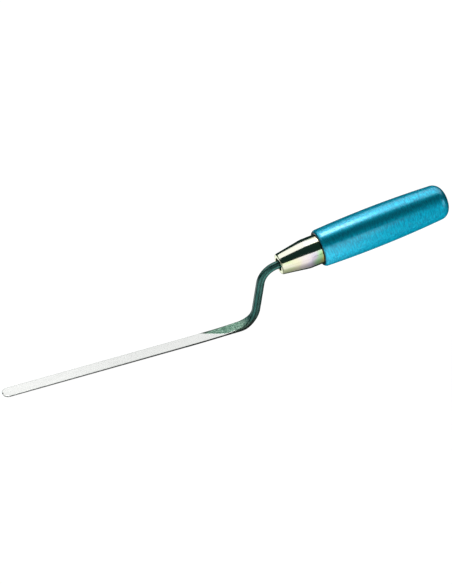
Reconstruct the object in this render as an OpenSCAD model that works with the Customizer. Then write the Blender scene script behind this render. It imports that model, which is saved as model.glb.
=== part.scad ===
// Pointing trowel: a long narrow blade, an S-bent neck, a tapered ferrule and a turned handle.
// Millimetres, +Z up. The blade runs along X with its tip at -X and its underside on Z = 0.
// The origin lies under the middle of the whole tool.

/* [Blade] */
// Width of the blade between its parallel edges
blade_width = 9.4; // [8.6:0.2:12]
// Radius of the two rounded corners that make the tip
tip_round = 4.2; // [2:0.2:4.2]
// Thickness of the blade at the tip
tip_thickness = 1; // [0.8:0.1:1.2]
// Thickness of the blade where it starts to lift towards the neck
root_thickness = 1.4; // [1.2:0.1:1.6]

/* [Neck] */
// Size of the eight-sided neck bar across its flats
neck_size = 6; // [5:0.2:6.4]
// Distance from the blade tip to the corner of the blade line and the riser line
neck_reach = 195.2; // [120:5:220]
// Height of the ferrule mouth above the underside of the blade
neck_rise = 50.4; // [46:0.2:58]
// Distance that the ferrule mouth lies behind the foot of the riser
neck_overhang = 19.3; // [19:0.5:24]
// Lean of the riser away from upright, towards the handle
riser_lean = 7.7; // [0:0.1:9]
// Radius of the lower bend on the bar's centre line
lower_bend = 14.5; // [12:0.5:18]
// Radius of the upper bend on the bar's centre line
upper_bend = 14.4; // [12:0.2:15]
// Length of blade that curves up gently ahead of the lower bend
lift_length = 45; // [20:5:60]
// Angle that the blade has turned up by at the start of the lower bend
lift_angle = 2.6; // [1:0.2:4]

/* [Ferrule] */
// Length of the ferrule
ferrule_length = 31.8; // [28:0.2:36]
// Outside diameter of the ferrule's straight rear end
ferrule_diameter = 22.4; // [21:0.2:24]
// Outside diameter of the cone at the mouth, before the lip turns in
mouth_diameter = 16.1; // [14:0.1:18]
// Diameter of the opening in the turned-in lip
opening_diameter = 9.8; // [8:0.2:11]
// Length of the cone, from the mouth to the straight rear end
cone_length = 21.5; // [18:0.5:24]
// Thickness of the ferrule's sheet metal
ferrule_wall = 1; // [0.8:0.1:1.2]
// Outside rounding of the turned-in lip
lip_round = 1.6; // [1.2:0.1:1.8]

/* [Handle] */
// Angle that the handle rises at, away from the plane of the blade
handle_tilt = 8.2; // [4:0.2:14]
// Length of the handle behind its shoulder
handle_length = 104; // [95:1:130]
// Largest diameter of the handle
handle_diameter = 30; // [29:0.5:34]
// Diameter of the handle at its front shoulder
shoulder_diameter = 28.1; // [26:0.1:28.6]
// Diameter of the handle where its butt starts to round off
butt_diameter = 26.8; // [24:0.2:28.4]
// Rounding of the front shoulder
shoulder_round = 2.6; // [1.5:0.1:3]
// Rounding of the butt
butt_round = 8; // [5:0.5:10]
// Gap between the ferrule's rear edge and the handle's shoulder
shoulder_gap = 0.2; // [0.1:0.1:0.4]
// Distance from the ferrule mouth back to the front of the handle's nose
nose_setback = 6; // [4:0.5:10]
// Diameter of the round tang inside the handle
tang_diameter = 4.6; // [4:0.2:5]
// Length of the tang inside the handle, from the front of its nose
tang_length = 78; // [60:1:85]

/* [Hidden] */
$fn = 96;

// Colours of the three pieces
STEEL = [0.36, 0.45, 0.42];
ZINC = [0.80, 0.80, 0.66];
BLUE = [0.05, 0.55, 0.68];

// Directions of the riser and of the handle, as angles from +X up towards +Z
riser_angle = 90 - riser_lean;
turn = riser_angle - handle_tilt;
riser_way = [cos(riser_angle), sin(riser_angle)];
handle_way = [cos(handle_tilt), sin(handle_tilt)];

// Side view, X from the blade tip and Z: foot of the riser, ferrule mouth and the corner
// where the riser line meets the handle's axis
mid_plane = root_thickness / 2;
riser_foot = [neck_reach, mid_plane];
mouth = [neck_reach + neck_overhang, neck_rise];
axis_run = cross(riser_way, mouth - riser_foot) / cross(riser_way, handle_way);
upper_corner = mouth - axis_run * handle_way;
upper_tangent = upper_bend * tan(turn / 2);
upper_start = upper_corner - upper_tangent * riser_way;
upper_end = upper_corner + upper_tangent * handle_way;

// Side view of the lifted blade and the lower bend
lift_radius = lift_length / (lift_angle * PI / 180);
bend_z = mid_plane + lift_radius * (1 - cos(lift_angle));
lower_end_z = bend_z + lower_bend * (cos(lift_angle) - cos(riser_angle));
lower_end = [neck_reach + (lower_end_z - mid_plane) * tan(riser_lean), lower_end_z];
bend_x = lower_end[0] - lower_bend * (sin(riser_angle) - sin(lift_angle));
lift_start = bend_x - lift_radius * sin(lift_angle);
lower_arc = lower_bend * (riser_angle - lift_angle) * PI / 180;
riser_length = norm(upper_start - lower_end);

// Corner cut that turns a square bar into a regular eight-sided one
octagon_cut = neck_size * (1 - tan(22.5)) / 2;
edge_cut = 0.15;

// Handle profile: radii and the single arc that makes its belly
belly_r = handle_diameter / 2;
shoulder_r = shoulder_diameter / 2;
butt_r = butt_diameter / 2;
belly_run = handle_length - shoulder_round - butt_round;
belly_ratio = sqrt((belly_r - shoulder_r) / (belly_r - butt_r));
belly_mid = shoulder_round + belly_run * belly_ratio / (1 + belly_ratio);
belly_drop = belly_r - shoulder_r;
belly_arc = (pow(belly_mid - shoulder_round, 2) + pow(belly_drop, 2)) / (2 * belly_drop);

// Distances along the handle's axis from the ferrule mouth
shoulder_at = ferrule_length + shoulder_gap;
butt_at = shoulder_at + handle_length;

// Distance from the blade tip to the rearmost point of the tilted handle
butt_point = (butt_at - butt_round) * cos(handle_tilt) + (butt_r - butt_round) * sin(handle_tilt);
overall_length = mouth[0] + butt_point + butt_round;

// Length of the round tang that runs on inside the eight-sided bar
tang_root = 3;

// Overlap at the ends of the bar's straight lengths
seam = 0.05;

// Steps along the lifted blade and around the lower bend
LIFT_STEPS = 6;
BEND_STEPS = 28;

// Smooth step from 0 to 1 as t goes from a to b
function ease(t, a, b) =
    let (u = min(max((t - a) / (b - a), 0), 1))
    u * u * (3 - 2 * u);

// Value that eases from p to q as t goes from a to b
function blend(p, q, t, a, b) = p + (q - p) * ease(t, a, b);

// One station of the root: [x, z, direction, distance past the start of the lower bend]
function lift_station(i) =
    let (a = lift_angle * i / LIFT_STEPS)
    [
        lift_start + lift_radius * sin(a),
        mid_plane + lift_radius * (1 - cos(a)),
        a,
        lift_length * (i / LIFT_STEPS - 1)
    ];

function bend_station(i) =
    let (a = lift_angle + (riser_angle - lift_angle) * i / BEND_STEPS)
    [
        bend_x + lower_bend * (sin(a) - sin(lift_angle)),
        bend_z + lower_bend * (cos(lift_angle) - cos(a)),
        a,
        lower_arc * i / BEND_STEPS
    ];

// Eight corners of the section at a station, as [x, y, z] points
function root_section(station) =
    let (
        s = station[3],
        w = blend(blade_width, neck_size, s, 1, 0.9 * lower_arc) / 2,
        h = blend(root_thickness, neck_size, s, -15, 0.93 * lower_arc) / 2,
        c = blend(edge_cut, octagon_cut, s, -15, 0.93 * lower_arc),
        outline = [
            [-w, h - c],
            [c - w, h],
            [w - c, h],
            [w, h - c],
            [w, c - h],
            [w - c, -h],
            [c - w, -h],
            [-w, c - h]
        ]
    )
    [for (p = outline) [
        station[0] - p[1] * sin(station[2]),
        p[0],
        station[1] + p[1] * cos(station[2])
    ]];

// Eight-sided outline of the neck bar
module bar_outline() {
    rotate(22.5)
        circle(d = neck_size / cos(22.5), $fn = 8);
}

// Places children with their Z axis along a direction, from a side-view point
module from_point(point, angle) {
    translate([point[0], 0, point[1]])
        rotate([0, 90 - angle, 0])
            children();
}

// Flat blade with parallel edges, rounded tip and a top that thins towards the tip
module blade_plate() {
    intersection() {
        linear_extrude(root_thickness) {
            translate([tip_round, -blade_width / 2])
                square([lift_start - tip_round, blade_width]);
            translate([0, tip_round - blade_width / 2])
                square([2 * tip_round, blade_width - 2 * tip_round]);
            for (side = [-1, 1])
                translate([tip_round, side * (blade_width / 2 - tip_round)])
                    circle(tip_round);
        }
        translate([0, blade_width, 0])
            rotate([90, 0, 0])
                linear_extrude(2 * blade_width)
                    polygon([
                        [-1, 0],
                        [lift_start, 0],
                        [lift_start, root_thickness],
                        [-1, tip_thickness]
                    ]);
    }
}

// Root of the forging: lifts off the blade's plane and gathers into the eight-sided bar
module root_bend() {
    stations = concat(
        [for (i = [0 : LIFT_STEPS]) lift_station(i)],
        [for (i = [1 : BEND_STEPS]) bend_station(i)]
    );
    last = len(stations) - 1;
    points = [for (s = stations) each root_section(s)];
    sides = [
        for (i = [0 : last - 1], k = [0 : 7])
            let (a = 8 * i + k, b = 8 * i + (k + 1) % 8)
            each [[a, b, b + 8], [a, b + 8, a + 8]]
    ];
    ends = [
        [for (k = [7 : -1 : 0]) k],
        [for (k = [0 : 7]) 8 * last + k]
    ];
    polyhedron(points, concat(sides, ends));
}

// Upper bend of the neck bar
module upper_bend_bar() {
    centre = upper_start + upper_bend * [sin(riser_angle), -cos(riser_angle)];
    translate([centre[0], 0, centre[1]])
        rotate([90, 0, 0])
            rotate([0, 0, 90 + handle_tilt])
                rotate_extrude(angle = turn)
                    translate([upper_bend, 0])
                        bar_outline();
}

// Round tang with a pointed end, rooted inside the bar at the front of the handle's nose
module tang() {
    point_length = 2 * tang_diameter;
    translate([0, 0, -tang_root])
        cylinder(d = tang_diameter, h = tang_root + tang_length - point_length);
    translate([0, 0, tang_length - point_length])
        cylinder(d1 = tang_diameter, d2 = 1, h = point_length);
}

// One forging: blade, root, riser, upper bend and tang
module blade_and_neck() {
    color(STEEL)
        translate([-overall_length / 2, 0, 0])
            union() {
                blade_plate();
                root_bend();
                from_point(lower_end - seam * riser_way, riser_angle)
                    linear_extrude(riser_length + 2 * seam)
                        bar_outline();
                upper_bend_bar();
                from_point(upper_end - seam * handle_way, handle_tilt)
                    linear_extrude(norm(mouth - upper_end) + nose_setback + seam)
                        bar_outline();
                from_point(mouth + nose_setback * handle_way, handle_tilt)
                    tang();
            }
}

// Radius of the ferrule's outside at a distance behind the mouth
function ferrule_r(t) =
    t >= cone_length
        ? ferrule_diameter / 2
        : mouth_diameter / 2
            + (ferrule_diameter - mouth_diameter) / 2 * (t - lip_round) / (cone_length - lip_round);

// Ferrule profile, radius along X and distance behind the mouth along Y
module ferrule_outside() {
    lip_r = mouth_diameter / 2;
    polygon([
        [0, 0],
        [lip_r - lip_round, 0],
        [lip_r - lip_round, lip_round],
        [lip_r, lip_round],
        [ferrule_r(cone_length), cone_length],
        [ferrule_r(cone_length), ferrule_length],
        [0, ferrule_length]
    ]);
    translate([lip_r - lip_round, lip_round])
        circle(lip_round);
}

// Hollow of the ferrule behind the lip
module ferrule_inside(end) {
    front = 2 * ferrule_wall;
    polygon([
        [0, front],
        [ferrule_r(front) - ferrule_wall, front],
        [ferrule_r(cone_length) - ferrule_wall, cone_length],
        [ferrule_r(cone_length) - ferrule_wall, end],
        [0, end]
    ]);
}

// Thin tapered sleeve with a turned-in lip
module ferrule() {
    color(ZINC)
        translate([-overall_length / 2, 0, 0])
            from_point(mouth, handle_tilt)
                rotate_extrude()
                    difference() {
                        ferrule_outside();
                        ferrule_inside(ferrule_length + 1);
                        translate([0, -1])
                            square([opening_diameter / 2, 2 * ferrule_wall + 2]);
                    }
}

// Handle profile behind the shoulder, radius along X and distance behind the shoulder along Y
module handle_outline() {
    intersection() {
        translate([belly_r - belly_arc, belly_mid])
            circle(belly_arc, $fn = 720);
        translate([0, shoulder_round])
            square([belly_r, belly_run]);
    }
    rounded_end(shoulder_r, shoulder_round);
    translate([0, handle_length])
        mirror([0, 1])
            rounded_end(butt_r, butt_round);
}

// One end of the handle profile: a flat face at Y = 0 that rounds off to radius r
module rounded_end(r, round) {
    square([r - round, 2 * round]);
    intersection() {
        translate([r - round, round])
            circle(round);
        square([r, 2 * round]);
    }
}

// Turned handle with the nose that fills the ferrule and the blind hole for the tang
module handle() {
    color(BLUE)
        translate([-overall_length / 2, 0, 0])
            from_point(mouth, handle_tilt)
                rotate_extrude()
                    difference() {
                        union() {
                            translate([0, shoulder_at])
                                handle_outline();
                            intersection() {
                                ferrule_inside(shoulder_at + 1);
                                translate([0, nose_setback])
                                    square([belly_r, handle_length]);
                            }
                        }
                        translate([0, nose_setback - 1])
                            square([tang_diameter / 2, tang_length + 2]);
                    }
}

blade_and_neck();
ferrule();
handle();
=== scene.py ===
"""Pointing trowel: the looks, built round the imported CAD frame.

Metres, +Z up. The blade runs along X with its tip at -X and its underside on Z = 0.
The sizes below repeat the part's driving dimensions, in millimetres.
"""

import math

import bpy
from mathutils import Matrix, Vector, noise


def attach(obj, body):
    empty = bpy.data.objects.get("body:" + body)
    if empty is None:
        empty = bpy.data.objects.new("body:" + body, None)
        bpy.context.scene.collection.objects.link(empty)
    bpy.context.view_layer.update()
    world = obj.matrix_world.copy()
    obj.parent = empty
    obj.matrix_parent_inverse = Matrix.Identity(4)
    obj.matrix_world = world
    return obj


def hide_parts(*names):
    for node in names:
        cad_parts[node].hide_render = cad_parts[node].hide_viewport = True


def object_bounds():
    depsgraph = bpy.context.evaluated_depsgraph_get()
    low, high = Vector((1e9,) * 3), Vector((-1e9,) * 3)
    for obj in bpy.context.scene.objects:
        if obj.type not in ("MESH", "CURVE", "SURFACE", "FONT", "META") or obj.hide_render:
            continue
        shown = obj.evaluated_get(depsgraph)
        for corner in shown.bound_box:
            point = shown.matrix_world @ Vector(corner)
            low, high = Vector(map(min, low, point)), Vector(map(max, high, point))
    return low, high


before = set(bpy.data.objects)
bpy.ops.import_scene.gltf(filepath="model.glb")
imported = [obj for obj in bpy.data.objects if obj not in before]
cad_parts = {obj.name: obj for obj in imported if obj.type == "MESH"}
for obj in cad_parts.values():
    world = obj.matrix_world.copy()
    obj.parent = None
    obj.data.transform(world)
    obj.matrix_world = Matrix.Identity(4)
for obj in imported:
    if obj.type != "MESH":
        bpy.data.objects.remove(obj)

CAD_LOW, CAD_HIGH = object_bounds()

MM = 0.001

# Blade
BLADE_WIDTH = 9.4
TIP_ROUND = 4.2
TIP_THICKNESS = 1.0
ROOT_THICKNESS = 1.4

# Neck
NECK_SIZE = 6.0
NECK_REACH = 195.2
NECK_RISE = 50.4
NECK_OVERHANG = 19.3
RISER_LEAN = math.radians(7.7)
LOWER_BEND = 14.5
UPPER_BEND = 14.4
LIFT_LENGTH = 45.0
LIFT_ANGLE = math.radians(2.6)
EDGE_CUT = 0.15
OCTAGON_CUT = NECK_SIZE * (1 - math.tan(math.radians(22.5))) / 2

# Softened corners of the forging, the width that the painted edge shade reaches, and the forging's
# unevenness
BLADE_ROUNDING = 0.06
BAR_ROUNDING = 0.34
EDGE_RIM = 0.5
DENT_DEPTH = 0.02

# Rings along the forging's stretches
TIP_STEPS = 14
BLADE_STEPS = 60
LIFT_STEPS = 24
BEND_STEPS = 56
RISER_STEPS = 24
UPPER_STEPS = 48
INNER_STEPS = 6

# Ferrule
FERRULE_LENGTH = 31.8
FERRULE_RADIUS = 11.2
MOUTH_RADIUS = 8.05
OPENING_RADIUS = 4.9
CONE_LENGTH = 21.5
FERRULE_WALL = 1.0
LIP_ROUND = 1.6

# Handle
HANDLE_TILT = math.radians(8.2)
HANDLE_LENGTH = 104.0
HANDLE_RADIUS = 15.0
SHOULDER_RADIUS = 14.05
BUTT_RADIUS = 13.4
SHOULDER_ROUND = 2.6
BUTT_ROUND = 8.0
SHOULDER_GAP = 0.2
NOSE_SETBACK = 6.0
TANG_RADIUS = 2.3

# Chamfer of the handle's nose, its clearance in the ferrule, and radius of the butt's end cap
NOSE_CHAMFER = 0.4
FIT_CLEARANCE = 0.05
BUTT_CENTRE = 0.6

# Steps along the handle's belly, and segments round the handle's axis
BELLY_STEPS = 60
FERRULE_SEGMENTS = 160
HANDLE_SEGMENTS = 192

# To stay inside the CAD's box: how far the handle's profile is drawn in and forward, and how far
# the whole tool is set back from the CAD's blade tip
SKIN = 0.02
TIP_INSET = 0.001

# Stage, in metres: Y of the table card's rear edge beside the blade, and heights below the tool
TABLE_EDGE = 0.006
CARD_Z = -0.001
BACKDROP_Z = -0.002

# Radiance of the white panels that the metal reflects
PANEL_GLOW = 1.45

# Direction of the riser in the side view, as an angle from +X up towards +Z
RISER_ANGLE = math.pi / 2 - RISER_LEAN

# Distance of the handle's shoulder from the ferrule's mouth
SHOULDER_AT = FERRULE_LENGTH + SHOULDER_GAP


# ---------------------------------------------------------------- side view of the neck

def side_direction(angle):
    """Unit vector in the side view (x, z)."""
    return Vector((math.cos(angle), math.sin(angle)))


def neck_layout():
    """Named points of the neck's centre line in the side view, x from the blade tip, in mm."""
    mid = ROOT_THICKNESS / 2
    mouth = Vector((NECK_REACH + NECK_OVERHANG, NECK_RISE))
    riser_way = side_direction(RISER_ANGLE)
    handle_way = side_direction(HANDLE_TILT)
    to_mouth = mouth - Vector((NECK_REACH, mid))
    run = riser_way.cross(to_mouth) / riser_way.cross(handle_way)
    corner = mouth - run * handle_way
    tangent = UPPER_BEND * math.tan((RISER_ANGLE - HANDLE_TILT) / 2)
    lift_radius = LIFT_LENGTH / LIFT_ANGLE
    bend_z = mid + lift_radius * (1 - math.cos(LIFT_ANGLE))
    end_z = bend_z + LOWER_BEND * (math.cos(LIFT_ANGLE) - math.cos(RISER_ANGLE))
    end_x = NECK_REACH + (end_z - mid) * math.tan(RISER_LEAN)
    bend_x = end_x - LOWER_BEND * (math.sin(RISER_ANGLE) - math.sin(LIFT_ANGLE))
    return {
        "mouth": mouth,
        "upper_start": corner - tangent * riser_way,
        "upper_end": corner + tangent * handle_way,
        "lift_radius": lift_radius,
        "bend": Vector((bend_x, bend_z)),
        "lower_end": Vector((end_x, end_z)),
        "lift_x": bend_x - lift_radius * math.sin(LIFT_ANGLE),
    }


NECK = neck_layout()
LOWER_ARC = LOWER_BEND * (RISER_ANGLE - LIFT_ANGLE)
TIP_X = CAD_LOW.x / MM + TIP_INSET
MOUTH = Vector((TIP_X + NECK["mouth"].x, 0, NECK["mouth"].y)) * MM

# Turns +Z onto the handle's axis
AXIS_TURN = math.pi / 2 - HANDLE_TILT
AXIS_FRAME = Matrix.Rotation(AXIS_TURN, 3, "Y")


def ease(t, low, high):
    """Smooth step from 0 to 1 as t goes from low to high."""
    u = min(max((t - low) / (high - low), 0), 1)
    return u * u * (3 - 2 * u)


def blend(start, end, t, low, high):
    """Value that eases from start to end as t goes from low to high."""
    return start + (end - start) * ease(t, low, high)


# ---------------------------------------------------------------- mesh helpers

def mesh_object(name, verts, faces, material):
    """New smooth-shaded mesh object with one material, linked to the scene."""
    mesh = bpy.data.meshes.new(name)
    mesh.from_pydata([tuple(v) for v in verts], [], faces)
    mesh.validate()
    mesh.materials.append(material)
    mesh.shade_smooth()
    piece = bpy.data.objects.new(name, mesh)
    bpy.context.scene.collection.objects.link(piece)
    return piece


def flatten_flats(piece):
    """Weighted normals keep the flat faces flat between their rounded edges."""
    weighted = piece.modifiers.new("Weighted normals", "WEIGHTED_NORMAL")
    weighted.weight = 80
    weighted.keep_sharp = True


def loft(rings, cap_end=True):
    """Vertices and faces of a skin over closed rings of equal length, capped at the start."""
    count = len(rings[0])
    verts = [p for ring in rings for p in ring]
    faces = []
    for i in range(len(rings) - 1):
        for k in range(count):
            a = i * count + k
            b = i * count + (k + 1) % count
            faces.append((a, b, b + count, a + count))
    faces.append(tuple(reversed(range(count))))
    if cap_end:
        faces.append(tuple((len(rings) - 1) * count + k for k in range(count)))
    return verts, faces


def arc(centre, radius, start, end, steps):
    """Points of an arc in a (radius, distance) profile; angles in degrees from outwards."""
    points = []
    for i in range(steps + 1):
        a = math.radians(start + (end - start) * i / steps)
        points.append((centre[0] + radius * math.cos(a), centre[1] + radius * math.sin(a)))
    return points


def line(start, end, steps):
    """Points after start, up to and including end."""
    return [
        (
            start[0] + (end[0] - start[0]) * i / steps,
            start[1] + (end[1] - start[1]) * i / steps,
        )
        for i in range(1, steps + 1)
    ]


def lathe(name, profile, segments, material, closed):
    """Turned piece round the handle's axis from a (radius, distance from the mouth) profile."""
    count = len(profile)
    verts = []
    for s in range(segments):
        a = 2 * math.pi * s / segments
        verts += [
            AXIS_FRAME @ Vector((r * math.cos(a), r * math.sin(a), t)) * MM + MOUTH
            for r, t in profile
        ]
    faces = []
    spans = count if closed else count - 1
    for s in range(segments):
        near = s * count
        far = (s + 1) % segments * count
        for k in range(spans):
            m = (k + 1) % count
            faces.append((near + k, far + k, far + m, near + m))
    if not closed:
        faces.append(tuple(s * count for s in reversed(range(segments))))
        faces.append(tuple(s * count + count - 1 for s in range(segments)))
    return mesh_object(name, verts, faces, material)


# ---------------------------------------------------------------- material helpers

class Graph:
    """A material's node tree, with short calls for the nodes that the materials share."""

    def __init__(self, name):
        self.material = bpy.data.materials.new(name)
        self.material.use_nodes = True
        self.nodes = self.material.node_tree.nodes
        self.links = self.material.node_tree.links
        self.shader = self.nodes["Principled BSDF"]
        self.place = self.nodes.new("ShaderNodeTexCoord").outputs["Object"]

    def along_handle(self):
        """Coordinates from the ferrule mouth with Z along the handle's axis."""
        node = self.nodes.new("ShaderNodeMapping")
        node.vector_type = "TEXTURE"
        self.join(self.place, node.inputs["Vector"])
        node.inputs["Location"].default_value = MOUTH
        node.inputs["Rotation"].default_value = (0, AXIS_TURN, 0)
        self.place = node.outputs[0]

    def join(self, source, socket):
        """Links a node output to a socket, or sets the socket to a plain value."""
        if isinstance(source, bpy.types.NodeSocket):
            self.links.new(source, socket)
        else:
            socket.default_value = source

    def set(self, **values):
        """Sets the shader's sockets; spaces in their names are written as underscores."""
        for name, value in values.items():
            self.join(value, self.shader.inputs[name.replace("_", " ")])

    def math(self, operation, a, b=0.0):
        """Result of a math operation on plain values or value sockets."""
        node = self.nodes.new("ShaderNodeMath")
        node.operation = operation
        self.join(a, node.inputs[0])
        self.join(b, node.inputs[1])
        return node.outputs[0]

    def stretch(self, scale):
        """Coordinates scaled per axis."""
        node = self.nodes.new("ShaderNodeVectorMath")
        node.operation = "MULTIPLY"
        self.join(self.place, node.inputs[0])
        node.inputs[1].default_value = scale
        return node.outputs[0]

    def noise(self, place, scale, detail=4.0, roughness=0.55, distortion=0.0):
        """Fractal noise, mostly between 0.3 and 0.7."""
        node = self.nodes.new("ShaderNodeTexNoise")
        self.join(place, node.inputs["Vector"])
        node.inputs["Scale"].default_value = scale
        node.inputs["Detail"].default_value = detail
        node.inputs["Roughness"].default_value = roughness
        node.inputs["Distortion"].default_value = distortion
        return node.outputs[0]

    def remap(self, value, low, high, new_low=0.0, new_high=1.0):
        """Smooth, clamped change of range."""
        node = self.nodes.new("ShaderNodeMapRange")
        node.interpolation_type = "SMOOTHSTEP"
        self.join(value, node.inputs["Value"])
        node.inputs["From Min"].default_value = low
        node.inputs["From Max"].default_value = high
        node.inputs["To Min"].default_value = new_low
        node.inputs["To Max"].default_value = new_high
        return node.outputs[0]

    def mix(self, factor, a, b):
        """Mix of two colours, given as three numbers or as sockets."""
        node = self.nodes.new("ShaderNodeMix")
        node.data_type = "RGBA"
        self.join(factor, node.inputs[0])
        for source, socket in ((a, node.inputs[6]), (b, node.inputs[7])):
            self.join(source if isinstance(source, bpy.types.NodeSocket) else (*source, 1), socket)
        return node.outputs[2]

    def blend(self, factor, a, b):
        """Mix of two plain values or value sockets."""
        node = self.nodes.new("ShaderNodeMix")
        node.data_type = "FLOAT"
        self.join(factor, node.inputs[0])
        self.join(a, node.inputs[2])
        self.join(b, node.inputs[3])
        return node.outputs[0]

    def painted(self, name):
        """Value stored on the mesh under a name."""
        node = self.nodes.new("ShaderNodeAttribute")
        node.attribute_name = name
        return node.outputs["Fac"]

    def parts(self, vector):
        """x, y and z sockets of a vector."""
        node = self.nodes.new("ShaderNodeSeparateXYZ")
        self.join(vector, node.inputs[0])
        return node.outputs

    def bump(self, height, distance, strength):
        """Normal of a bumpy surface; distance is the bumps' height in metres."""
        node = self.nodes.new("ShaderNodeBump")
        self.join(height, node.inputs["Height"])
        node.inputs["Distance"].default_value = distance
        node.inputs["Strength"].default_value = strength
        return node.outputs[0]


# ---------------------------------------------------------------- materials

def forged_steel():
    """Bright ground blade, mottled green film on the root and dark green lacquer on the neck."""
    g = Graph("forged_steel")
    x, y, z = g.parts(g.place)[:3]
    normal = g.nodes.new("ShaderNodeNewGeometry").outputs["Normal"]
    steep = g.math("ABSOLUTE", g.parts(normal)[1])
    on_side = g.remap(steep, 0.75, 0.92)
    on_slope = g.remap(steep, 0.3, 0.6)
    edge = g.painted("edge")
    under = g.painted("under")

    # The grinding ends on a slanted line: first on the far edge, last along the near edge
    wander = g.noise(g.stretch((220, 500, 500)), 1.0, 3)
    slant = g.math("ADD", g.math("MULTIPLY", y, -2.1), g.math("MULTIPLY", wander, 0.003))
    face_limit = g.math("ADD", slant, (TIP_X + 160.9) * MM)
    strip_edge = g.remap(x, (TIP_X + 163) * MM, (TIP_X + 175) * MM, -0.0022, -0.0040)
    strip = g.math("LESS_THAN", y, strip_edge)
    limit = g.blend(strip, face_limit, (TIP_X + 182) * MM)
    limit = g.blend(on_slope, limit, (TIP_X + 138) * MM)
    past_limit = g.math("SUBTRACT", x, limit)
    coated = g.remap(past_limit, -0.0005, 0.0010)

    # Ground steel: fine scratches along the blade, and painted shade on the rounded edges and side
    # faces
    scratch = g.noise(g.stretch((60, 9000, 9000)), 1.0, 3, 0.6)
    cloud = g.noise(g.stretch((90, 260, 260)), 1.0, 4)
    steel = g.mix(cloud, (0.56, 0.56, 0.55), (0.64, 0.64, 0.63))
    steel = g.mix(g.math("MULTIPLY", edge, 0.7), steel, (0.22, 0.25, 0.23))
    # Painted shade on the side faces: a darker grey that deepens towards the root
    side_shade = g.remap(x, TIP_X * MM, (TIP_X + 150) * MM, 0.24, 0.14)
    steel = g.mix(on_side, steel, side_shade)
    steel_rough = g.remap(scratch, 0.2, 0.8, 0.12, 0.20)

    # Film on the flat root: light green with pale flecks
    mottle = g.noise(g.stretch((1100, 800, 800)), 1.0, 4, 0.65, 0.5)
    patch = g.noise(g.stretch((150, 150, 150)), 1.0, 3)
    film = g.mix(g.remap(mottle, 0.38, 0.52), (0.020, 0.072, 0.050), (0.115, 0.215, 0.158))
    film = g.mix(g.remap(mottle, 0.52, 0.64), film, (0.30, 0.45, 0.36))
    film = g.mix(g.remap(patch, 0.45, 0.7, 0.0, 0.5), film, (0.20, 0.28, 0.23))
    # Darker film along the far edge, which is painted shade, and on the far half just past the
    # grinding line
    far_edge_shade = g.math("MULTIPLY", g.remap(y, 0.0036, 0.0042), g.remap(x, 0.006, 0.012, 1.0, 0.3))
    dark_past_grind = g.math("MULTIPLY", g.remap(y, 0.0020, 0.0036), g.remap(past_limit, 0.002, 0.007, 1, 0))
    film = g.mix(g.math("MAXIMUM", far_edge_shade, dark_past_grind), film, (0.018, 0.028, 0.020))

    # Lacquer on the neck: painted shade on the corners and towards the underside
    pool = g.noise(g.stretch((320, 320, 200)), 1.0, 4, 0.6)
    lit_coat = g.mix(g.remap(pool, 0.3, 0.7), (0.020, 0.110, 0.095), (0.045, 0.165, 0.145))
    shaded_coat = g.mix(g.remap(pool, 0.3, 0.7), (0.008, 0.045, 0.037), (0.014, 0.070, 0.058))
    coat = g.mix(g.remap(under, 0.45, 0.65), lit_coat, shaded_coat)
    coat = g.mix(g.math("MULTIPLY", edge, 0.9), coat, (0.002, 0.022, 0.018))
    # Painted shade: side faces near-black up to X = 16 to 30 mm, and sloped faces before X = 4 mm
    side = g.mix(g.remap(x, 0.016, 0.030), (0.002, 0.006, 0.004), coat)
    dark = g.math("MAXIMUM", on_side, g.math("MULTIPLY", on_slope, g.remap(x, -0.002, 0.004, 1, 0)))

    bend = g.math("MAXIMUM", g.remap(z, 0.0030, 0.0090), dark)
    lacquer = g.mix(dark, coat, side)
    # Painted shade on the film's rounded edges
    film = g.mix(g.math("MULTIPLY", edge, 0.8), film, (0.03, 0.06, 0.045))
    colour = g.mix(bend, film, lacquer)
    rough = g.blend(bend, g.remap(mottle, 0.3, 0.7, 0.30, 0.48), g.remap(pool, 0.3, 0.7, 0.26, 0.36))

    g.set(
        Base_Color=g.mix(coated, steel, colour),
        Metallic=g.blend(coated, 1.0, g.blend(bend, 0.85, 0.35)),
        Roughness=g.blend(coated, steel_rough, rough),
        Specular_IOR_Level=0.3,
    )
    height = g.blend(coated, g.math("MULTIPLY", scratch, 0.04), mottle)
    g.set(Normal=g.bump(height, 0.00012, 0.6))
    return g.material


def plated_sheet():
    """Polished zinc plate whose thin film runs from cream through lilac and green to yellow."""
    g = Graph("plated_sheet")
    g.along_handle()
    down, t = g.parts(g.place)[0], g.parts(g.place)[2]
    drift = g.noise(g.stretch((70, 70, 40)), 1.0, 3, 0.5, 0.4)
    patch = g.noise(g.stretch((150, 150, 60)), 1.0, 3, 0.55, 0.3)
    t = g.math("ADD", t, g.math("MULTIPLY", g.math("SUBTRACT", drift, 0.5), 0.022))
    colour = g.mix(g.remap(patch, 0.42, 0.60), (0.64, 0.64, 0.50), (0.55, 0.63, 0.35))
    for at, tint in (
        (8.0, (0.66, 0.64, 0.46)),
        (13.0, (0.66, 0.60, 0.58)),
        (19.5, (0.56, 0.51, 0.60)),
        (24.5, (0.34, 0.61, 0.31)),
        (29.3, (0.66, 0.58, 0.16)),
    ):
        colour = g.mix(g.remap(t, (at - 2.5) * MM, (at + 2.5) * MM), colour, tint)
    # Painted highlight: the top of the ferrule is paler and loses its tint
    colour = g.mix(g.remap(down, -0.0090, -0.0045, 0.8, 0.0), colour, (0.68, 0.68, 0.60))
    drawn = g.noise(g.stretch((500, 500, 6000)), 1.0, 2)
    g.set(
        Base_Color=colour,
        Metallic=1.0,
        Roughness=g.remap(drawn, 0.25, 0.75, 0.08, 0.14),
        Normal=g.bump(drawn, 0.00001, 0.35),
    )
    return g.material


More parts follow.
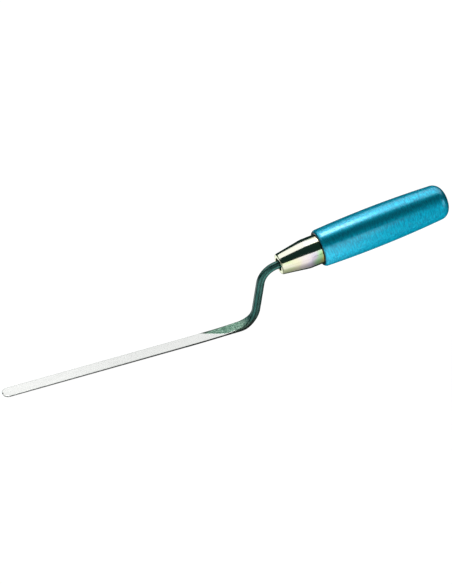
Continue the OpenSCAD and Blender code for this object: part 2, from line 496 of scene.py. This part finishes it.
def lacquered_wood():
    """Pearly blue lacquer over turned wood, and bare wood on the nose inside the ferrule."""
    g = Graph("lacquered_wood")
    g.along_handle()
    along = g.parts(g.place)[2]
    bare = g.remap(along, (SHOULDER_AT - 0.6) * MM, (SHOULDER_AT - 0.4) * MM, 1, 0)
    flecks = g.noise(g.stretch((330, 330, 1500)), 1.0, 3, 0.65, 0.2)
    cloud = g.noise(g.stretch((90, 90, 45)), 1.0, 4, 0.55)
    deep = (0.001, 0.26, 0.45)
    pale = (0.002, 0.56, 0.78)
    colour = g.mix(g.remap(flecks, 0.34, 0.66), deep, pale)
    colour = g.mix(g.remap(cloud, 0.3, 0.75, 0.0, 0.3), colour, (0.001, 0.42, 0.62))
    # Painted shade: a near-black ring on the shoulder where it meets the ferrule
    shoulder_gap_shade = g.remap(along, (SHOULDER_AT + 0.1) * MM, (SHOULDER_AT + 0.6) * MM, 1, 0)
    colour = g.mix(shoulder_gap_shade, colour, (0.001, 0.010, 0.014))
    grain = g.noise(g.stretch((900, 900, 60)), 1.0, 4)
    wood = g.mix(g.remap(grain, 0.3, 0.7), (0.36, 0.22, 0.11), (0.60, 0.42, 0.24))
    g.set(
        Base_Color=g.mix(bare, colour, wood),
        Metallic=g.blend(bare, 0.62, 0.0),
        Roughness=g.blend(bare, g.remap(flecks, 0.3, 0.7, 0.46, 0.34), 0.7),
        Specular_IOR_Level=0.0,
        Coat_Weight=1.0,
        Coat_Roughness=0.18,
        Coat_IOR=1.5,
        Normal=g.bump(g.blend(bare, flecks, grain), 0.0001, 0.5),
    )
    return g.material


def paper(name, shade, glow):
    """Faintly uneven paper; glow is its emission, a plain value or a function of its graph."""
    g = Graph(name)
    tooth = g.noise(g.place, 3.0, 3)
    g.set(
        Base_Color=g.mix(tooth, (0.9 * shade,) * 3, (shade,) * 3),
        Roughness=0.9,
        Specular_IOR_Level=0.0,
        Emission_Color=(1, 1, 1, 1),
        Emission_Strength=glow(g) if callable(glow) else glow,
    )
    return g.material


def table_glow(g):
    """Brighter away from the tool, and dark beyond the front of the handle."""
    x, y = g.parts(g.place)[:2]
    away = g.remap(y, -0.15, 0.0, 1.3, 0.45)
    slanted = g.math("ADD", x, g.math("MULTIPLY", y, 0.3))
    return g.math("MULTIPLY", away, g.remap(slanted, 0.03, 0.14, 1.0, 0.05))


# ---------------------------------------------------------------- the forging

def half_section(half_height, cut, rounding):
    """Right half of a cut-cornered section, top to bottom: (share of width, inset, height, edge).

    Edge is 1 on the rounded corners and 0 a short way into the flats.
    """
    slope = math.sqrt(0.5)
    diagonal = cut / slope - 2 * rounding
    side = half_height - cut - rounding
    rim = min(EDGE_RIM, 0.3 * diagonal)
    side_rim = min(EDGE_RIM, 0.5 * side)
    corners = [
        (cut + rounding + EDGE_RIM, half_height, 0.0),
        (cut + rounding, half_height, 0.6),
        (cut + rounding * (1 - slope) / 4, half_height - rounding * slope / 4, 1.0),
        (cut - rounding * slope, half_height - rounding * slope, 0.6),
        (cut - (rounding + rim) * slope, half_height - (rounding + rim) * slope, 0.0),
        ((rounding + rim) * slope, half_height - cut + (rounding + rim) * slope, 0.0),
        (rounding * slope, half_height - cut + rounding * slope, 0.6),
        (rounding * slope / 4, half_height - cut - rounding * (1 - slope) / 4, 1.0),
        (0.0, side, 0.6),
        (0.0, side - side_rim, 0.0),
    ]
    top = [(share, corners[0][0], half_height, 0.0) for share in (0.0, 0.25, 0.5, 0.75)]
    top += [(1.0, inset, height, edge) for inset, height, edge in corners]
    bottom = [(share, inset, -height, edge) for share, inset, height, edge in reversed(top)]
    return top + [(1.0, 0.0, 0.0, 0.0)] + bottom


def whole_section(half):
    """Closed section from its right half: (side, point)."""
    return [(1, p) for p in half] + [(-1, p) for p in reversed(half[1:-1])]


def dented(point, centre, depth):
    """Point drawn in a little towards the centre line, as hammered steel is uneven."""
    wave = noise.noise(point * 260) + 0.6 * noise.noise(point * 620)
    return centre + (point - centre) * (1 - depth * (0.5 + 0.5 * wave))


def section_ring(point, angle, half_width, half_height, cut, rounding, tip_turn=None, dent=0):
    """Ring of points round the centre line; tip_turn bends the outline in for the blade's tip."""
    ring = []
    centre = Vector((TIP_X + point.x, 0, point.y)) * MM
    for sign, (share, inset, n, edge) in whole_section(half_section(half_height, cut, rounding)):
        width = half_width - inset
        back = 0.0
        if tip_turn is not None:
            radius = TIP_ROUND - inset
            width = half_width - TIP_ROUND + radius * math.sin(tip_turn)
            back = TIP_ROUND - radius * math.cos(tip_turn)
        x = point.x + back - n * math.sin(angle)
        z = point.y + n * math.cos(angle)
        place = Vector((TIP_X + x, sign * share * width, z)) * MM
        ring.append(dented(place, centre, dent) if dent else place)
    return ring


def blade_thickness(x):
    """Thickness of the flat part of the blade at a distance from the tip."""
    return TIP_THICKNESS + (ROOT_THICKNESS - TIP_THICKNESS) * min(x / NECK["lift_x"], 1)


def blade_rings():
    """Rounded tip and the flat straight part of the blade."""
    rings = []
    half = BLADE_WIDTH / 2
    h = blade_thickness(0) / 2
    for i in range(TIP_STEPS + 1):
        turn = math.pi / 2 * i / TIP_STEPS
        rings.append(section_ring(Vector((0, h)), 0, half, h, EDGE_CUT, BLADE_ROUNDING, turn))
    for i in range(1, BLADE_STEPS):
        x = TIP_ROUND + (NECK["lift_x"] - TIP_ROUND) * i / BLADE_STEPS
        h = blade_thickness(x) / 2
        rings.append(section_ring(Vector((x, h)), 0, half, h, EDGE_CUT, BLADE_ROUNDING))
    return rings


def root_ring(point, angle, s):
    """Ring of the root at arc distance s past the start of the lower bend."""
    return section_ring(
        point,
        angle,
        blend(BLADE_WIDTH, NECK_SIZE, s, 1, 0.9 * LOWER_ARC) / 2,
        blend(ROOT_THICKNESS, NECK_SIZE, s, -15, 0.93 * LOWER_ARC) / 2,
        blend(EDGE_CUT, OCTAGON_CUT, s, -15, 0.93 * LOWER_ARC),
        blend(BLADE_ROUNDING, BAR_ROUNDING, s, -15, 0.93 * LOWER_ARC),
        dent=DENT_DEPTH * ease(s, -8, 4),
    )


def root_rings():
    """Gentle lift of the blade's end and the lower bend."""
    rings = []
    for i in range(LIFT_STEPS):
        a = LIFT_ANGLE * i / LIFT_STEPS
        x = NECK["lift_x"] + NECK["lift_radius"] * math.sin(a)
        z = ROOT_THICKNESS / 2 + NECK["lift_radius"] * (1 - math.cos(a))
        rings.append(root_ring(Vector((x, z)), a, LIFT_LENGTH * (i / LIFT_STEPS - 1)))
    for i in range(BEND_STEPS + 1):
        a = LIFT_ANGLE + (RISER_ANGLE - LIFT_ANGLE) * i / BEND_STEPS
        x = NECK["bend"].x + LOWER_BEND * (math.sin(a) - math.sin(LIFT_ANGLE))
        z = NECK["bend"].y + LOWER_BEND * (math.cos(LIFT_ANGLE) - math.cos(a))
        rings.append(root_ring(Vector((x, z)), a, LOWER_ARC * i / BEND_STEPS))
    return rings


def bar_ring(point, angle):
    """Ring of the eight-sided bar."""
    half = NECK_SIZE / 2
    return section_ring(point, angle, half, half, OCTAGON_CUT, BAR_ROUNDING, dent=DENT_DEPTH)


def neck_rings():
    """Riser, upper bend and the bar's end inside the ferrule."""
    start, end = NECK["lower_end"], NECK["upper_start"]
    rings = [
        bar_ring(start.lerp(end, i / RISER_STEPS), RISER_ANGLE) for i in range(1, RISER_STEPS)
    ]
    for i in range(UPPER_STEPS + 1):
        a = RISER_ANGLE + (HANDLE_TILT - RISER_ANGLE) * i / UPPER_STEPS
        x = end.x + UPPER_BEND * (math.sin(RISER_ANGLE) - math.sin(a))
        z = end.y - UPPER_BEND * (math.cos(RISER_ANGLE) - math.cos(a))
        rings.append(bar_ring(Vector((x, z)), a))
    last = NECK["mouth"] + NOSE_SETBACK * side_direction(HANDLE_TILT)
    rings += [
        bar_ring(NECK["upper_end"].lerp(last, i / INNER_STEPS), HANDLE_TILT)
        for i in range(1, INNER_STEPS + 1)
    ]
    return rings


def forging(material):
    """Blade, root, neck and the start of the tang in one skin."""
    rings = blade_rings() + root_rings() + neck_rings()
    verts, faces = loft(rings)
    piece = mesh_object("blade_and_neck_forging", verts, faces, material)
    section = whole_section(half_section(NECK_SIZE / 2, OCTAGON_CUT, BAR_ROUNDING))
    edge = [point[3] for sign, point in section]
    under = [0.5 - point[2] / NECK_SIZE for sign, point in section]
    for name, values in (("edge", edge), ("under", under)):
        attribute = piece.data.attributes.new(name, "FLOAT", "POINT")
        attribute.data.foreach_set("value", values * len(rings))
    flatten_flats(piece)
    return piece


# ---------------------------------------------------------------- ferrule and handle

def ferrule_slope(t):
    """Outside radius of the ferrule's cone and straight rear end."""
    if t >= CONE_LENGTH:
        return FERRULE_RADIUS
    share = (t - LIP_ROUND) / (CONE_LENGTH - LIP_ROUND)
    return MOUTH_RADIUS + (FERRULE_RADIUS - MOUTH_RADIUS) * share


def ferrule_outline():
    """Closed profile of the sleeve: turned-in lip, cone, straight end and the hollow."""
    lip = (MOUTH_RADIUS - LIP_ROUND, LIP_ROUND)
    soft = 0.3
    rear_round = 0.25
    outside = arc((OPENING_RADIUS + soft, soft), soft, 180, 270, 4)
    outside += arc(lip, LIP_ROUND, -90, 0, 12)
    outside += [(ferrule_slope(t), t) for t in (3, 6, 10, 14, 18, 20.5)]
    outside += [(FERRULE_RADIUS - 0.03, CONE_LENGTH), (FERRULE_RADIUS, CONE_LENGTH + 1)]
    outside += line(outside[-1], (FERRULE_RADIUS, FERRULE_LENGTH - rear_round), 4)
    rear = (FERRULE_RADIUS - rear_round, FERRULE_LENGTH - rear_round)
    outside += arc(rear, rear_round, 0, 90, 4)[1:]
    bore = FERRULE_RADIUS - FERRULE_WALL
    front = 2 * FERRULE_WALL
    inside = [(bore, FERRULE_LENGTH), (bore, CONE_LENGTH)]
    inside += [(ferrule_slope(front) - FERRULE_WALL, front), (OPENING_RADIUS + 0.2, front)]
    inside += [(OPENING_RADIUS, front - 0.2)]
    return outside + inside


def belly_radius(t):
    """Radius of the handle's single-arc belly at a distance behind its shoulder."""
    run = HANDLE_LENGTH - SHOULDER_ROUND - BUTT_ROUND
    ratio = math.sqrt((HANDLE_RADIUS - SHOULDER_RADIUS) / (HANDLE_RADIUS - BUTT_RADIUS))
    middle = SHOULDER_ROUND + run * ratio / (1 + ratio)
    drop = HANDLE_RADIUS - SHOULDER_RADIUS
    bow = ((middle - SHOULDER_ROUND) ** 2 + drop ** 2) / (2 * drop)
    return HANDLE_RADIUS - bow + math.sqrt(bow ** 2 - (t - middle) ** 2)


def handle_outline():
    """Profile from the nose's front face to the middle of the butt."""
    nose = ferrule_slope(NOSE_SETBACK) - FERRULE_WALL - FIT_CLEARANCE
    bore = FERRULE_RADIUS - FERRULE_WALL - FIT_CLEARANCE
    points = [(TANG_RADIUS, NOSE_SETBACK), (nose - NOSE_CHAMFER, NOSE_SETBACK)]
    points += [(nose, NOSE_SETBACK + NOSE_CHAMFER)]
    points += [(bore, CONE_LENGTH), (bore, SHOULDER_AT)]
    points += line((bore, SHOULDER_AT), (SHOULDER_RADIUS - SHOULDER_ROUND, SHOULDER_AT), 2)
    points += arc(
        (SHOULDER_RADIUS - SHOULDER_ROUND, SHOULDER_AT + SHOULDER_ROUND), SHOULDER_ROUND, -90, 0, 12
    )[1:]
    run = HANDLE_LENGTH - SHOULDER_ROUND - BUTT_ROUND
    for i in range(1, BELLY_STEPS):
        t = SHOULDER_ROUND + run * i / BELLY_STEPS
        points.append((belly_radius(t), SHOULDER_AT + t))
    points += arc(
        (BUTT_RADIUS - BUTT_ROUND, SHOULDER_AT + HANDLE_LENGTH - BUTT_ROUND), BUTT_ROUND, 0, 90, 20
    )
    points += line(points[-1], (BUTT_CENTRE, SHOULDER_AT + HANDLE_LENGTH), 4)
    return [(r - SKIN, t - SKIN) for r, t in points]


# ---------------------------------------------------------------- stage

def card(name, elevation, distance, across, radiance):
    """Soft rectangular light that faces the object and isn't seen by the camera.

    It covers a range of elevations, in degrees from the -Y horizon over the top, and a range
    of X.
    """
    low, high = (math.radians(angle) for angle in elevation)
    middle = (low + high) / 2
    way = Vector((0, -math.cos(middle), math.sin(middle)))
    width = across[1] - across[0]
    height = 2 * distance * math.tan((high - low) / 2)
    light = bpy.data.lights.new(name, "AREA")
    light.shape = "RECTANGLE"
    light.size = width
    light.size_y = height
    light.energy = radiance * width * height * math.pi
    lamp = bpy.data.objects.new(name, light)
    lamp.location = way * distance + Vector((sum(across) / 2, 0, 0))
    lamp.rotation_mode = "QUATERNION"
    lamp.rotation_quaternion = (-way).to_track_quat("-Z", "Y")
    lamp.visible_camera = False
    bpy.context.scene.collection.objects.link(lamp)
    return lamp


def add_backdrop():
    """White floor that curves up into a wall all round; only the camera sees it."""
    flat = 2.6
    sweep = 1.2
    top = 5.0
    segments = 64
    profile = [(0.01, BACKDROP_Z), (flat, BACKDROP_Z)]
    profile += [
        (flat + sweep * math.sin(a), BACKDROP_Z + sweep * (1 - math.cos(a)))
        for a in (math.radians(7.5 * i) for i in range(1, 13))
    ]
    profile.append((flat + sweep, top))
    rings = [
        [
            Vector((r * math.cos(a), r * math.sin(a), z))
            for a in (2 * math.pi * i / segments for i in range(segments))
        ]
        for r, z in profile
    ]
    verts, faces = loft(rings, cap_end=False)
    floor = mesh_object("floor", verts, faces, paper("backdrop_paper", 0.1, 1.0))
    floor.visible_glossy = False
    floor.visible_diffuse = False
    floor.visible_shadow = False


def floor_card(name, corners, glow):
    """Card on the floor with corners (x, y) in metres, seen only in reflections."""
    verts = [(x, y, CARD_Z) for x, y in corners]
    outline = [tuple(range(len(corners)))]
    piece = mesh_object(name, verts, outline, paper(name + "_paper", 0.05, glow))
    piece.visible_camera = False
    piece.visible_diffuse = False
    piece.visible_shadow = False


def add_world():
    """Dark teal room for the reflections."""
    world = bpy.data.worlds.new("studio")
    world.use_nodes = True
    room = world.node_tree.nodes["Background"]
    room.inputs["Color"].default_value = (0.22, 0.80, 0.66, 1)
    room.inputs["Strength"].default_value = 0.038
    bpy.context.scene.world = world


def add_camera():
    """Camera at the photograph's viewing angle."""
    turn, rise = math.radians(23.33), math.radians(39.24)
    back = Vector((
        -math.sin(turn) * math.cos(rise),
        -math.cos(turn) * math.cos(rise),
        math.sin(rise),
    ))
    aim = Vector((0.91, 6.74, 32.05)) * MM
    distance = 1.5
    data = bpy.data.cameras.new("camera")
    data.sensor_fit = "AUTO"
    data.sensor_width = 36
    data.lens = 126.8
    data.clip_end = 50
    camera = bpy.data.objects.new("camera", data)
    camera.location = aim + back * distance
    camera.rotation_mode = "QUATERNION"
    camera.rotation_quaternion = (-back).to_track_quat("-Z", "Y")
    bpy.context.scene.collection.objects.link(camera)
    bpy.context.scene.camera = camera


def add_stage():
    """Backdrop, floor cards, room and lights."""
    add_backdrop()
    reach = 1.2
    table = [
        (-reach, -reach),
        (reach, -reach),
        (reach, TABLE_EDGE - 0.30),
        (0.020, TABLE_EDGE),
        (-reach, TABLE_EDGE),
    ]
    floor_card("table_card", table, table_glow)
    floor_card("lip_card", [(-0.12, 0.012), (0.04, 0.012), (0.04, 0.13), (-0.12, 0.13)], 1.3)
    add_world()
    card("middle_panel", (97, 148), 5.0, (0.1, 1.2), PANEL_GLOW)
    # Panels that only show in reflections
    for panel in (
        card("front_panel", (-3, 34), 4.0, (-4.0, 1.2), PANEL_GLOW),
        card("back_panel", (97, 155), 5.0, (-8.0, 0.1), PANEL_GLOW),
        card("blade_panel", (97, 155), 5.0, (1.2, 8.0), 1.3),
        card("streak_panel", (106, 128), 4.9, (0.15, 0.78), 10.0),
        card("right_panel", (-3, 50), 4.0, (2.8, 8.0), 1.3),
    ):
        panel.visible_diffuse = False
    # Fills that don't show in reflections
    for fill in (
        card("bounce_panel", (-55, -15), 3.0, (-1.5, 1.5), 10.0),
        card("rear_panel", (140, 165), 4.0, (-2.5, 2.5), 6.0),
    ):
        fill.visible_glossy = False


# ---------------------------------------------------------------- build

def build():
    """The three pieces, each in place of its CAD node, and the stage round them."""
    trowel = forging(forged_steel())
    sleeve = lathe("ferrule_sleeve", ferrule_outline(), FERRULE_SEGMENTS, plated_sheet(), True)
    grip = lathe("turned_handle", handle_outline(), HANDLE_SEGMENTS, lacquered_wood(), False)
    flatten_flats(sleeve)
    flatten_flats(grip)
    for piece, node, slot in (
        (trowel, "blade_and_neck", "forged_steel"),
        (sleeve, "ferrule", "plated_sheet"),
        (grip, "handle", "lacquered_wood"),
    ):
        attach(piece, "root")
        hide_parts(node)

    add_stage()
    add_camera()
    bpy.context.scene.view_settings.view_transform = "Standard"


build()
